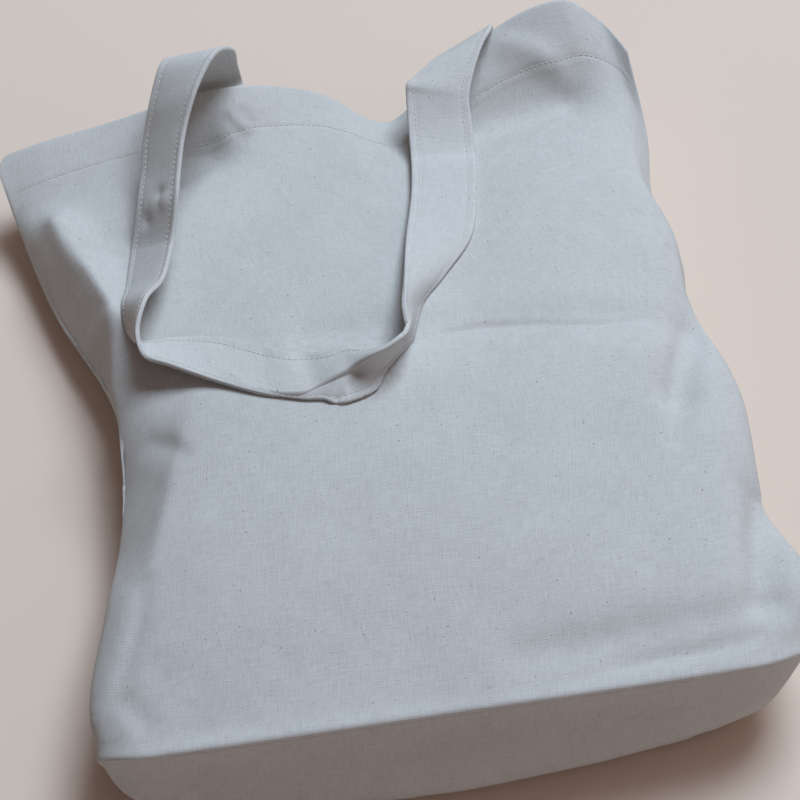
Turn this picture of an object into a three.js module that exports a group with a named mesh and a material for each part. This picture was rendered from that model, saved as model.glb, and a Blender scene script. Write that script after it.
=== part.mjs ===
// A cotton tote bag that lies on its back, filled out, with its mouth open.
// The front handle arches over the mouth's edge and lies on the front, the back one is tucked inside.
// Millimetres: X runs across the bag, Y from the boxed bottom to the mouth, and Z up.

import * as THREE from "three";

// Cloth thickness, hem and handle sizes
const CLOTH = 1.5;
const HEM_CLOTH = 3;
const HEM_DEPTH = 36;
const PANEL_LENGTH = 450;
const HANDLE_WIDTH = 36;
const HANDLE_CLOTH = 2.4;

// Clearances at the seams and where one cloth rests on another
const SEAM_GAP = 0.5;
const REST_GAP = 0.4;

// Grid of the panels: places across, along up to the hem, inside the hem, and down the bottom cloth
const COLUMNS = 28;
const BODY_ROWS = 19;
const HEM_ROWS = 4;
const GUSSET_ROWS = 6;

// Side seams, from the ends of the boxed bottom up to the corners of the mouth
const LEFT_SEAM = [
  { at: 0.0, x: -180, y: -196, z: 28 },
  { at: 0.08, x: -185, y: -168, z: 38 },
  { at: 0.22, x: -169, y: -112, z: 40 },
  { at: 0.4, x: -154, y: -40, z: 40 },
  { at: 0.55, x: -157, y: 20, z: 40 },
  { at: 0.73, x: -184, y: 93, z: 36 },
  { at: 0.87, x: -198, y: 148, z: 40 },
  { at: 1.0, x: -205, y: 196, z: 46 },
];
const RIGHT_SEAM = [
  { at: 0.0, x: 184, y: -192, z: 28 },
  { at: 0.08, x: 198, y: -163, z: 44 },
  { at: 0.2, x: 185, y: -113, z: 42 },
  { at: 0.36, x: 191, y: -48, z: 42 },
  { at: 0.53, x: 180, y: 20, z: 42 },
  { at: 0.63, x: 185, y: 60, z: 44 },
  { at: 0.75, x: 178, y: 108, z: 46 },
  { at: 0.87, x: 185, y: 158, z: 47 },
  { at: 1.0, x: 182, y: 206, z: 68 },
];

// Seam between the front and the bottom cloth, with an ear at each end
const FRONT_FOOT = [
  { at: -1.0, x: -180, y: -196, z: 28 },
  { at: -0.92, x: -183, y: -205, z: 58 },
  { at: -0.78, x: -158, y: -215, z: 76 },
  { at: 0.0, x: -2, y: -221, z: 87 },
  { at: 0.78, x: 162, y: -216, z: 76 },
  { at: 0.92, x: 191, y: -204, z: 60 },
  { at: 1.0, x: 184, y: -192, z: 28 },
];

// Seam between the back and the bottom cloth, on the surface the bag lies on
const BACK_FOOT = [
  { at: -1.0, x: -180, y: -196 },
  { at: -0.85, x: -164, y: -209 },
  { at: 0.0, x: -2, y: -223 },
  { at: 0.85, x: 164, y: -209 },
  { at: 1.0, x: 184, y: -192 },
];

// Mouth edge of the front panel, which its handle lifts at both roots and which droops between them
const FRONT_MOUTH = [
  { at: -1.0, x: -205, y: 196, z: 46 },
  { at: -0.93, x: -197, y: 205, z: 48 },
  { at: -0.6, x: -128, y: 218, z: 52 },
  { at: -0.34, x: -65, y: 219, z: 67 },
  { at: -0.1, x: -12, y: 217, z: 56 },
  { at: 0.18, x: 30, y: 200, z: 38 },
  { at: 0.3, x: 50, y: 207, z: 44 },
  { at: 0.55, x: 98, y: 229, z: 72 },
  { at: 0.82, x: 146, y: 237, z: 86 },
  { at: 0.93, x: 170, y: 229, z: 71 },
  { at: 1.0, x: 182, y: 206, z: 68 },
];

// Mouth edge of the back panel, on the surface the bag lies on
const BACK_MOUTH = [
  { at: -1.0, x: -205, y: 196 },
  { at: -0.85, x: -176, y: 205 },
  { at: 0.0, x: -2, y: 211 },
  { at: 0.85, x: 160, y: 212 },
  { at: 1.0, x: 182, y: 206 },
];

// Height of the front along its middle, and how square its section is
const CROWN = [
  { at: 0.0, height: 87, square: 3 },
  { at: 0.055, height: 91, square: 3 },
  { at: 0.23, height: 100, square: 3 },
  { at: 0.44, height: 99, square: 2.8 },
  { at: 0.55, height: 90, square: 2.4 },
  { at: 0.71, height: 73, square: 2 },
  { at: 0.84, height: 60, square: 2 },
  { at: 0.92, height: 54, square: 2 },
  { at: 1.0, height: 52, square: 2 },
];

// Creases of the front: a line from one place to another, the depth of its dip and half its width.
// A depth below zero is a ridge.
const CREASES = [
  { x: -40, y: 22, toX: 172, toY: 0, depth: 4, width: 13 },
  { x: 184, y: 16, toX: 155, toY: -48, depth: 7, width: 13 },
  { x: 188, y: -116, toX: 174, toY: -178, depth: 7, width: 13 },
  { x: -128, y: -24, toX: -146, toY: -112, depth: 6, width: 12 },
  { x: -160, y: -30, toX: -150, toY: -100, depth: 5, width: 11 },
  { x: 40, y: -198, toX: 178, toY: -188, depth: 4, width: 12 },
  { x: -172, y: -192, toX: -150, toY: -172, depth: 5, width: 13 },
  { x: -178, y: 150, toX: -150, toY: 70, depth: -6, width: 16 },
  { x: -92, y: 192, toX: -64, toY: 198, depth: 8, width: 13 },
  { x: 84, y: 200, toX: 128, toY: 200, depth: 11, width: 14 },
];

// The back lies flat over this share of its width, and its sides curve up to the side seams
const FLAT_SHARE = 0.6;

// The handle lifts the front from this place on, and by this share of its lift at the hem's fold
const LIFT_FROM = 0.8;
const LIFT_AT_HEM = 0.45;

// The bottom cloth bulges out most below its middle, and nearly fills the corner at each of its ends
const GUSSET_BULGE = 12;
const GUSSET_LOW = 1.6;
const CORNER_FILL = 0.85;

// Route of the front handle from its left root to its right root, with the direction of its upper edge.
// A row with no height lies on the front panel.
const FRONT_HANDLE_ROUTE = [
  { x: -71, y: 225, z: 62, edgeX: 1, edgeY: 0, edgeZ: 0 },
  { x: -72, y: 228, z: 78, edgeX: 1, edgeY: 0, edgeZ: 0 },
  { x: -74, y: 219, z: 104, edgeX: 1, edgeY: 0, edgeZ: 0.1 },
  { x: -80, y: 206, z: 120, edgeX: 0.9, edgeY: 0.05, edgeZ: 0.35 },
  { x: -92, y: 186, z: 112, edgeX: 0.68, edgeY: -0.1, edgeZ: 0.7 },
  { x: -105, y: 162, z: 96, edgeX: 0.6, edgeY: -0.3, edgeZ: 0.72 },
  { x: -115, y: 133, z: 83, edgeX: 0.55, edgeY: -0.35, edgeZ: 0.72 },
  { x: -122, y: 106, z: 0, edgeX: 0.55, edgeY: -0.4, edgeZ: 0.7 },
  { x: -128, y: 79, z: 0, edgeX: 0.5, edgeY: -0.4, edgeZ: 0.75 },
  { x: -134, y: 55, z: 0, edgeX: 0.3, edgeY: -0.3, edgeZ: 0.9 },
  { x: -133, y: 35, z: 0, edgeX: 0.05, edgeY: -0.3, edgeZ: 0.95 },
  { x: -123, y: 23, z: 0, edgeX: -0.25, edgeY: -0.6, edgeZ: 0.75 },
  { x: -106, y: 18, z: 0, edgeX: -0.25, edgeY: -0.85, edgeZ: 0.4 },
  { x: -87, y: 9, z: 0, edgeX: -0.2, edgeY: -0.9, edgeZ: 0.3 },
  { x: -66, y: -7, z: 0, edgeX: 0, edgeY: -0.9, edgeZ: 0.4 },
  { x: -47, y: -22, z: 0, edgeX: 0, edgeY: -0.7, edgeZ: 0.7 },
  { x: -28, y: -33, z: 0, edgeX: -0.05, edgeY: -0.15, edgeZ: 0.98 },
  { x: -8, y: -27, z: 0, edgeX: -0.1, edgeY: 0, edgeZ: 0.99 },
  { x: 8, y: -9, z: 0, edgeX: -0.2, edgeY: -0.1, edgeZ: 0.97 },
  { x: 19, y: 20, z: 0, edgeX: -0.35, edgeY: -0.3, edgeZ: 0.88 },
  { x: 32, y: 50, z: 0, edgeX: -0.75, edgeY: -0.2, edgeZ: 0.6 },
  { x: 45, y: 86, z: 0, edgeX: -1, edgeY: 0.1, edgeZ: 0.05 },
  { x: 53, y: 119, z: 0, edgeX: -1, edgeY: 0.1, edgeZ: 0 },
  { x: 59, y: 150, z: 0, edgeX: -1, edgeY: 0.1, edgeZ: 0 },
  { x: 61, y: 173, z: 70, edgeX: -1, edgeY: 0.05, edgeZ: 0 },
  { x: 65, y: 194, z: 79, edgeX: -1, edgeY: -0.1, edgeZ: 0 },
  { x: 76, y: 212, z: 81, edgeX: -0.88, edgeY: -0.35, edgeZ: -0.3 },
  { x: 82, y: 228, z: 72, edgeX: -0.8, edgeY: -0.38, edgeZ: -0.45 },
  { x: 83, y: 229, z: 60, edgeX: -0.8, edgeY: -0.37, edgeZ: -0.47 },
];
const FRONT_ROOTS = [-0.365, 0.465];
const FRONT_SEWN = { from: 0.95, to: 0.99 };

// Route of the back handle, folded back over its sewn ends and tucked into the bag
const BACK_HANDLE_ROUTE = [
  { x: -76, y: 206, z: 8.4, edgeX: 1, edgeY: 0, edgeZ: 0 },
  { x: -76, y: 196, z: 10.4, edgeX: 1, edgeY: 0, edgeZ: 0 },
  { x: -77, y: 176, z: 9.6, edgeX: 1, edgeY: 0, edgeZ: 0 },
  { x: -78, y: 152, z: 5, edgeX: 1, edgeY: 0, edgeZ: 0 },
  { x: -80, y: 110, z: 3.6, edgeX: 1, edgeY: 0, edgeZ: 0 },
  { x: -80, y: 50, z: 3.6, edgeX: 1, edgeY: 0, edgeZ: 0 },
  { x: -78, y: 0, z: 3.6, edgeX: 1, edgeY: 0, edgeZ: 0 },
  { x: -70, y: -50, z: 3.6, edgeX: 1, edgeY: 0.1, edgeZ: 0 },
  { x: -48, y: -92, z: 3.6, edgeX: 0.8, edgeY: 0.6, edgeZ: 0 },
  { x: 0, y: -114, z: 3.6, edgeX: 0, edgeY: 1, edgeZ: 0 },
  { x: 48, y: -92, z: 3.6, edgeX: -0.8, edgeY: 0.6, edgeZ: 0 },
  { x: 70, y: -50, z: 3.6, edgeX: -1, edgeY: 0.1, edgeZ: 0 },
  { x: 78, y: 0, z: 3.6, edgeX: -1, edgeY: 0, edgeZ: 0 },
  { x: 80, y: 50, z: 3.6, edgeX: -1, edgeY: 0, edgeZ: 0 },
  { x: 80, y: 110, z: 3.6, edgeX: -1, edgeY: 0, edgeZ: 0 },
  { x: 79, y: 152, z: 5, edgeX: -1, edgeY: 0, edgeZ: 0 },
  { x: 78, y: 176, z: 9.6, edgeX: -1, edgeY: 0, edgeZ: 0 },
  { x: 78, y: 196, z: 10.4, edgeX: -1, edgeY: 0, edgeZ: 0 },
  { x: 78, y: 206, z: 8.4, edgeX: -1, edgeY: 0, edgeZ: 0 },
];
const BACK_ROOTS = [-0.4, 0.4];
const BACK_SEWN = { from: 0.932, to: 0.975 };

// Lines along a handle, the rows at its sewn ends, and the steps between two rows
const HANDLE_LINES = [-1, -0.5, 0, 0.5, 1];
const ROOT_KNOTS = 4;
const ROOT_GAP = 1.2;
const STEPS_PER_KNOT = 3;

// Unbleached canvas
const CANVAS = { color: 0xd9d6d0, roughness: 0.92, metalness: 0 };

const HEM_AT = 1 - HEM_DEPTH / PANEL_LENGTH;

// Slope of a column at a row, from the rows on both sides of it
function slope(rows, index, key) {
  const before = rows[Math.max(index - 1, 0)];
  const after = rows[Math.min(index + 1, rows.length - 1)];
  return (after[key] - before[key]) / (after.at - before.at);
}

// Smooth curve through a table: gives every column at a place along it
function curve(rows) {
  const keys = Object.keys(rows[0]).filter((key) => key !== "at");
  return (at) => {
    let index = 0;
    while (index < rows.length - 2 && at > rows[index + 1].at) {
      index += 1;
    }
    const from = rows[index];
    const to = rows[index + 1];
    const span = to.at - from.at;
    const u = THREE.MathUtils.clamp((at - from.at) / span, 0, 1);
    const ease = u * u * (3 - 2 * u);
    const values = {};
    for (const key of keys) {
      const start = slope(rows, index, key) * span * u * (1 - u) ** 2;
      const end = slope(rows, index + 1, key) * span * u * u * (1 - u);
      values[key] = from[key] + (to[key] - from[key]) * ease + start - end;
    }
    return values;
  };
}

const leftSeam = curve(LEFT_SEAM);
const rightSeam = curve(RIGHT_SEAM);
const frontFoot = curve(FRONT_FOOT);
const backFoot = curve(BACK_FOOT);
const frontMouth = curve(FRONT_MOUTH);
const backMouth = curve(BACK_MOUTH);
const crown = curve(CROWN);

// Patch spanned between the two side seams, a foot seam and a mouth edge, for one coordinate
function span(foot, mouth, key, across, along) {
  const share = (across + 1) / 2;
  const ends = (1 - along) * foot(across)[key] + along * mouth(across)[key];
  const left = leftSeam(along)[key] - (1 - along) * foot(-1)[key] - along * mouth(-1)[key];
  const right = rightSeam(along)[key] - (1 - along) * foot(1)[key] - along * mouth(1)[key];
  return ends + (1 - share) * left + share * right;
}

// Depth of all the creases at a place on the front
function creaseDepth(x, y) {
  let depth = 0;
  for (const crease of CREASES) {
    const dx = crease.toX - crease.x;
    const dy = crease.toY - crease.y;
    const along = ((x - crease.x) * dx + (y - crease.y) * dy) / (dx * dx + dy * dy);
    const u = THREE.MathUtils.clamp(along, 0, 1);
    const away = Math.hypot(x - crease.x - u * dx, y - crease.y - u * dy);
    depth += crease.depth * Math.exp(-((away / crease.width) ** 2));
  }
  return depth;
}

// Share of the handle's lift that the front has at a place: a curve up to the hem, then straight
function liftShare(along) {
  if (along > HEM_AT) {
    return THREE.MathUtils.mapLinear(along, HEM_AT, 1, LIFT_AT_HEM, 1);
  }
  return LIFT_AT_HEM * Math.max(0, (along - LIFT_FROM) / (HEM_AT - LIFT_FROM)) ** 2;
}

// Straight line between the corners of the mouth
function levelMouth(across) {
  return { z: THREE.MathUtils.mapLinear(across, -1, 1, leftSeam(1).z, rightSeam(1).z) };
}

// Height of the front without its creases and its lift
function swollen(across, along) {
  const flat = span(frontFoot, levelMouth, "z", across, along);
  const middle = span(frontFoot, levelMouth, "z", 0, along);
  const { height, square } = crown(along);
  return flat + (height - middle) * Math.sqrt(Math.max(0, 1 - Math.abs(across) ** square));
}

// Outer face of the front: 'across' runs from -1 at the left seam to 1 at the right, 'along' from 0 to 1
function frontPoint(across, along) {
  const x = span(frontFoot, frontMouth, "x", across, along);
  const y = span(frontFoot, frontMouth, "y", across, along);
  const lift = liftShare(along) * (frontMouth(across).z - swollen(across, 1));
  const inside = Math.min(1, along * 12, (1 - along) * 12) * Math.min(1, (1 - Math.abs(across)) * 8);
  return new THREE.Vector3(x, y, swollen(across, along) + lift - creaseDepth(x, y) * inside);
}

// Outer face of the back, flat on the surface below it apart from its sides
function backPoint(across, along) {
  const x = span(backFoot, backMouth, "x", across, along);
  const y = span(backFoot, backMouth, "y", across, along);
  const side = Math.max(0, (Math.abs(across) - FLAT_SHARE) / (1 - FLAT_SHARE)) ** 2;
  const seam = across < 0 ? leftSeam : rightSeam;
  return new THREE.Vector3(x, y, seam(along).z * side);
}

// Outer face of the bottom cloth, from its front seam down to its back seam
function gussetPoint(across, down) {
  const point = frontPoint(across, 0).lerp(backPoint(across, 0), down);
  const swell = Math.sqrt(1 - across * across) * Math.sin(Math.PI * down ** GUSSET_LOW);
  point.y -= GUSSET_BULGE * swell;
  return point;
}

// Places across and along that all the panels share, so that their seams match
const columns = [];
for (let i = 0; i <= COLUMNS; i += 1) {
  const place = (2 * i) / COLUMNS - 1;
  columns.push((place + Math.sin((Math.PI / 2) * place)) / 2);
}
const rows = [];
for (let j = 0; j < BODY_ROWS; j += 1) {
  rows.push((j / BODY_ROWS) * HEM_AT);
}
rows.push(HEM_AT - 0.004);
for (let j = 0; j <= HEM_ROWS; j += 1) {
  rows.push(HEM_AT + (j / HEM_ROWS) * (1 - HEM_AT));
}

// Direction into the bag from each seam, shared by the two cloths that meet there
function toward(from, ...others) {
  const aim = new THREE.Vector3();
  for (const other of others) {
    aim.addScaledVector(other, 1 / others.length);
  }
  return aim.sub(from).normalize();
}
const NEAR_SIDE = 0.86;
const SEAM_BLEND = 0.8;
const NEARLY_SEAM = 0.98;
const NEAR_FOOT = 0.07;
const NEAR_EDGE = 0.3;
const NORMAL_STEP = 0.01;
const BISECTOR_SHARE = 0.4;

// Direction straight into the bag from the face of a panel
function faceInward(pointAt, across, along, turn) {
  const at = Math.min(along, 1 - NORMAL_STEP);
  const edge = pointAt(across + NORMAL_STEP, along).sub(pointAt(across - NORMAL_STEP, along));
  const rise = pointAt(across, at + NORMAL_STEP).sub(pointAt(across, at));
  return edge.cross(rise).normalize().multiplyScalar(-turn);
}

function sideInward(side, along) {
  const place = side * NEAR_SIDE;
  const aim = toward(frontPoint(side, along), frontPoint(place, along), backPoint(place, along));
  aim.multiplyScalar(BISECTOR_SHARE);
  aim.add(faceInward(frontPoint, place, along, 1)).add(faceInward(backPoint, place, along, -1));
  return aim.normalize();
}

// Turns a direction to the side seam's own one close to that seam
function turnToSide(inward, across, along) {
  const near = THREE.MathUtils.smoothstep(Math.abs(across), SEAM_BLEND, NEARLY_SEAM);
  return inward.lerp(sideInward(Math.sign(across) || 1, along), near).normalize();
}

function frontFootInward(across) {
  const seam = frontPoint(across, 0);
  return turnToSide(toward(seam, frontPoint(across, NEAR_FOOT), gussetPoint(across, NEAR_EDGE)), across, 0);
}

function backFootInward(across) {
  const seam = backPoint(across, 0);
  return turnToSide(toward(seam, backPoint(across, NEAR_FOOT), gussetPoint(across, 1 - NEAR_EDGE)), across, 0);
}

// Normal of a grid at one of its points, from its neighbours
function gridNormal(grid, j, i, turn) {
  const last = grid.length - 1;
  const end = grid[0].length - 1;
  const acrossStep = grid[j][Math.min(i + 1, end)].clone().sub(grid[j][Math.max(i - 1, 0)]);
  const alongStep = grid[Math.min(j + 1, last)][i].clone().sub(grid[Math.max(j - 1, 0)][i]);
  return acrossStep.cross(alongStep).normalize().multiplyScalar(turn);
}

// Draws the seam rows of a grid back from the seam by half its gap
function openSeams(grid, sides) {
  const last = grid.length - 1;
  const end = grid[0].length - 1;
  const pull = (point, neighbour) => {
    const step = neighbour.clone().sub(point).normalize();
    point.addScaledVector(step, SEAM_GAP / 2);
  };
  for (let i = 0; i <= end; i += 1) {
    pull(grid[0][i], grid[1][i]);
    if (sides.bothEnds) {
      pull(grid[last][i], grid[last - 1][i]);
    }
  }
  for (let j = 0; j <= last; j += 1) {
    pull(grid[j][0], grid[j][1]);
    pull(grid[j][end], grid[j][end - 1]);
  }
}

// Closed wall between an outer grid and the same grid set in by the cloth's thickness
function wall(outer, inner, turn) {
  const last = outer.length - 1;
  const end = outer[0].length - 1;
  const positions = [];
  const triangle = (a, b, c) => {
    const corners = turn > 0 ? [a, b, c] : [a, c, b];
    corners.forEach((corner) => positions.push(corner.x, corner.y, corner.z));
  };
  const quad = (a, b, c, d) => {
    triangle(a, b, c);
    triangle(a, c, d);
  };
  for (let j = 0; j < last; j += 1) {
    for (let i = 0; i < end; i += 1) {
      quad(outer[j][i], outer[j][i + 1], outer[j + 1][i + 1], outer[j + 1][i]);
      quad(inner[j][i], inner[j + 1][i], inner[j + 1][i + 1], inner[j][i + 1]);
    }
    quad(outer[j][0], outer[j + 1][0], inner[j + 1][0], inner[j][0]);
    quad(outer[j + 1][end], outer[j][end], inner[j][end], inner[j + 1][end]);
  }
  for (let i = 0; i < end; i += 1) {
    quad(outer[0][i + 1], outer[0][i], inner[0][i], inner[0][i + 1]);
    quad(outer[last][i], outer[last][i + 1], inner[last][i + 1], inner[last][i]);
  }
  const geometry = new THREE.BufferGeometry();
  geometry.setAttribute("position", new THREE.Float32BufferAttribute(positions, 3));
  geometry.computeVertexNormals();
  return geometry;
}

// A panel from its foot seam to its mouth, with the thicker hem along the mouth
function panel(pointAt, footInward, turn) {
  const outer = rows.map((along) => columns.map((across) => pointAt(across, along)));
  openSeams(outer, { bothEnds: false });
  const inner = outer.map((line, j) =>
    line.map((point, i) => {
      const normal = gridNormal(outer, j, i, -turn);
      const inward = j === 0 ? footInward(columns[i]) : turnToSide(normal, columns[i], rows[j]);
      const thickness = rows[j] < HEM_AT ? CLOTH : HEM_CLOTH;
      return point.clone().addScaledVector(inward, thickness);
    }),
  );
  return wall(outer, inner, turn);
}

// Carries each row of a grid on from its end towards a corner
function fillCorner(grid, corner, side) {
  for (const line of grid) {
    const end = side < 0 ? line[0] : line[line.length - 1];
    const point = end.clone().lerp(corner, CORNER_FILL);
    if (side < 0) {
      line.unshift(point);
    } else {
      line.push(point);
    }
  }
}

// The bottom cloth, sewn to the front along one edge and to the back along the other
function gusset() {
  const places = columns.slice(1, -1);
  const outer = [];
  for (let j = 0; j <= GUSSET_ROWS; j += 1) {
    outer.push(places.map((across) => gussetPoint(across, j / GUSSET_ROWS)));
  }
  openSeams(outer, { bothEnds: true });
  const inner = outer.map((line, j) =>
    line.map((point, i) => {
      let inward = gridNormal(outer, j, i, 1);
      if (j === 0) {
        inward = frontFootInward(places[i]);
      } else if (j === GUSSET_ROWS) {
        inward = backFootInward(places[i]);
      }
      return point.clone().addScaledVector(inward, CLOTH);
    }),
  );
  for (const side of [-1, 1]) {
    const corner = frontPoint(side, 0);
    const innerCorner = corner.clone().addScaledVector(sideInward(side, 0), CLOTH);
    fillCorner(outer, corner, side);
    fillCorner(inner, innerCorner, side);
  }
  return wall(outer, inner, -1);
}

// Height of a panel's upper face below a point, or none where there is no cloth there
const DROP_HEIGHT = 500;
function heightOver(mesh, x, y) {
  const ray = new THREE.Raycaster(new THREE.Vector3(x, y, DROP_HEIGHT), new THREE.Vector3(0, 0, -1));
  const hits = ray.intersectObject(mesh);
  return hits.length > 0 ? hits[0].point.z : -Infinity;
}

// Sewn end of a handle: lines up the inner face of a hem, from the hem's fold to near its edge
function rootKnots(pointAt, across, sewn, turn) {
  const knots = [];
  for (let k = 0; k < ROOT_KNOTS; k += 1) {
    const along = THREE.MathUtils.lerp(sewn.from, sewn.to, k / (ROOT_KNOTS - 1));
    const width = pointAt(across + NORMAL_STEP, along).distanceTo(pointAt(across - NORMAL_STEP, along));
    const reach = (HANDLE_WIDTH * NORMAL_STEP) / width;
    knots.push(
      HANDLE_LINES.map((line) => {
        const place = across + line * reach;
        const inward = faceInward(pointAt, place, along, turn);
        const depth = HEM_CLOTH + ROOT_GAP + HANDLE_CLOTH / 2;
        return pointAt(place, along).addScaledVector(inward, depth);
      }),
    );
  }
  return knots;
}

// How far a row of a handle has to rise so that its whole width clears the cloth below it
function riseToClear(points, mesh) {
  const needed = points.map((point) => heightOver(mesh, point.x, point.y) - point.z);
  return Math.max(...needed) + HANDLE_CLOTH / 2 + REST_GAP;
}

// Rows of points across a handle, from one root over its route to the other root
function handleRows(pointAt, roots, sewn, route, turn, resting) {
  const start = rootKnots(pointAt, roots[0], sewn, turn);
  const finish = rootKnots(pointAt, roots[1], sewn, turn).reverse();
  finish.forEach((knot) => knot.reverse());
  const middle = route.map((row) => {
    const edge = new THREE.Vector3(row.edgeX, row.edgeY, row.edgeZ).setLength(HANDLE_WIDTH / 2);
    const centre = new THREE.Vector3(row.x, row.y, row.z);
    const points = HANDLE_LINES.map((line) => centre.clone().addScaledVector(edge, line));
    if (row.z === 0) {
      const rise = riseToClear(points, resting);
      points.forEach((point) => point.setZ(point.z + rise));
    }
    return points;
  });
  const knots = [...start, ...middle, ...finish];
  const rests = knots.map((_, k) => resting !== null && route[k - ROOT_KNOTS]?.z === 0);
  const lines = HANDLE_LINES.map((_, k) => new THREE.CatmullRomCurve3(knots.map((knot) => knot[k])));
  const count = (knots.length - 1) * STEPS_PER_KNOT;
  const settled = [];
  for (let j = 0; j <= count; j += 1) {
    const points = lines.map((line) => line.getPoint(j / count));
    const knot = Math.floor(j / STEPS_PER_KNOT);
    const rise = rests[knot] || rests[knot + 1] ? Math.max(0, riseToClear(points, resting)) : 0;
    points.forEach((point) => point.setZ(point.z + rise));
    settled.push(points);
  }
  return settled;
}

// Flat webbing with half its thickness on each side of the rows
function handle(middle) {
  const set = (offset) =>
    middle.map((line, j) =>
      line.map((point, i) => point.clone().addScaledVector(gridNormal(middle, j, i, 1), offset)),
    );
  return wall(set(HANDLE_CLOTH / 2), set(-HANDLE_CLOTH / 2), 1);
}

function piece(name, geometry) {
  const mesh = new THREE.Mesh(geometry, new THREE.MeshStandardMaterial(CANVAS));
  mesh.name = name;
  return mesh;
}

const body = new THREE.Group();
const frontPanel = piece("front_panel", panel(frontPoint, frontFootInward, 1));
body.add(frontPanel);
body.add(piece("back_panel", panel(backPoint, backFootInward, -1)));
body.add(piece("bottom_gusset", gusset()));

const handles = new THREE.Group();
const laid = handleRows(frontPoint, FRONT_ROOTS, FRONT_SEWN, FRONT_HANDLE_ROUTE, 1, frontPanel);
handles.add(piece("front_handle", handle(laid)));
const tucked = handleRows(backPoint, BACK_ROOTS, BACK_SEWN, BACK_HANDLE_ROUTE, -1, null);
handles.add(piece("back_handle", handle(tucked)));

const bag = new THREE.Group();
bag.add(body, handles);

export default bag;
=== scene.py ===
# %% [markdown]
# # A cotton tote bag
#
# The bag lies on its back, filled out, with its boxed bottom towards the viewer and its mouth open
# on the far side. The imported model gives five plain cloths: front, back, bottom and two handles. This
# lesson sews finer ones in their places, with folds, rolled seams, hems, stitches and a woven finish.

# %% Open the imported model
import math

import bpy
import numpy as np
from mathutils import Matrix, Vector, noise
from mathutils.bvhtree import BVHTree


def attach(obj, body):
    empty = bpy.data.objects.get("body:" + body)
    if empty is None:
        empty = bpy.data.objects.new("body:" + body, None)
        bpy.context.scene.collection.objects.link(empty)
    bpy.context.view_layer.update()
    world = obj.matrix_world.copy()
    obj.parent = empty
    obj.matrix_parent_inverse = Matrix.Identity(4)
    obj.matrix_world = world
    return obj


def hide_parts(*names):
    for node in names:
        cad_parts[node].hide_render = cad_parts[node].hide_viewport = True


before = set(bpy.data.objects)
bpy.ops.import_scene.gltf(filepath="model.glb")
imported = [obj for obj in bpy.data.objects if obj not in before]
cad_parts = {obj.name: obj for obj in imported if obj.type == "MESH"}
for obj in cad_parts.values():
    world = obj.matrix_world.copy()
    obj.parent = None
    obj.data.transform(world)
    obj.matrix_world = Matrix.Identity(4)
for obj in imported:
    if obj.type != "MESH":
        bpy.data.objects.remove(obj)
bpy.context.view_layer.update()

MM = 0.001
print("cloths in the model:", sorted(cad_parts))

# %% [markdown]
# ## The camera
#
# The photograph looks down on the bag from in front of its bottom, a little to the left. A camera
# could be placed by eye, but an angle, a height and a distance round a target are easier to check,
# so the place is worked out from those. The lens is long, as for a picture of goods on a table.

# %% Stand the camera in front of the bag
CAMERA_TURN = -9.5
CAMERA_HEIGHT = 58
CAMERA_DISTANCE = 1500
CAMERA_FIELD = 17.3
CAMERA_TARGET = Vector((7, 0, 40))


def direction(turn, height):
    """Direction from the bag towards a place round it, from two angles in degrees."""
    turn, height = math.radians(turn), math.radians(height)
    flat = math.cos(height)
    return Vector((math.sin(turn) * flat, -math.cos(turn) * flat, math.sin(height)))


lens = bpy.data.cameras.new("photo_camera")
lens.angle = math.radians(CAMERA_FIELD)
camera = bpy.data.objects.new("photo_camera", lens)
towards = direction(CAMERA_TURN, CAMERA_HEIGHT)
camera.location = (CAMERA_TARGET + towards * CAMERA_DISTANCE) * MM
camera.rotation_euler = towards.to_track_quat("Z", "Y").to_euler()
bpy.context.collection.objects.link(camera)
bpy.context.scene.camera = camera
print("camera at", [round(v, 3) for v in camera.location])

# %% [markdown]
# ## Node maths as expressions
#
# The sky, the cloth's finish and the stitches are all node trees. Wiring maths nodes one by one is
# long and hard to read, so a small class wraps a socket: adding or multiplying two wires adds the
# node that does it, and one method makes any other node from its kind, its settings and its sockets.

# %% Write shader maths as expressions


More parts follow.
